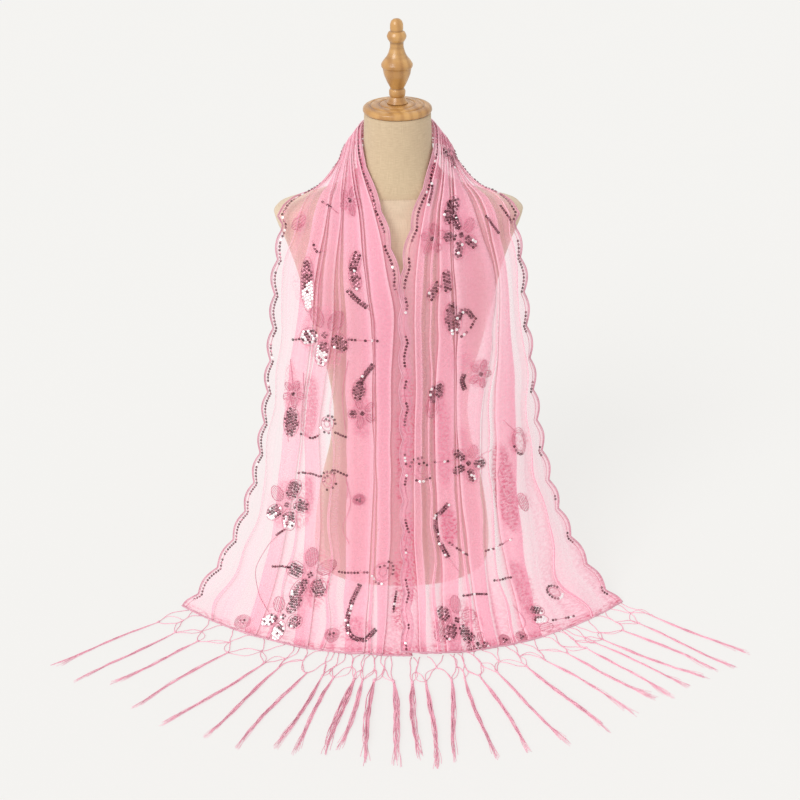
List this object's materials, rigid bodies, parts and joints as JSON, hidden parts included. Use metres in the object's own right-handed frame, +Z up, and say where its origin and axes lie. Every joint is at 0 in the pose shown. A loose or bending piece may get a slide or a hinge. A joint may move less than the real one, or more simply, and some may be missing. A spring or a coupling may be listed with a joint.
{
  "type": "fringed evening stole on a limbless dress form",
  "caption": "Sheer tulle stole with scalloped borders and a knotted fringe, draped over the shoulders of a table-top linen dress form with a turned wooden neck cap and finial.",
  "frame": {"origin": "middle of the dress form's flat underside, on the surface it stands on", "axes": "+Z up, -Y towards the front, +X to the right as the front is seen"},
  "size_m": [1.1878, 0.6544, 0.9896],
  "materials": {
    "linen": "plain woven, matt",
    "wood": "turned, clear satin varnish",
    "tulle": "sheer net, matt",
    "fringe": "soft yarn, matt"
  },
  "bodies": {
    "root": {"stole_left_fall": "tulle", "stole_nape": "tulle", "stole_right_fall": "tulle", "fringe_left": "fringe", "fringe_right": "fringe", "form_body": "linen", "neck_cap": "wood", "finial": "wood"}
  },
  "joints": []
}
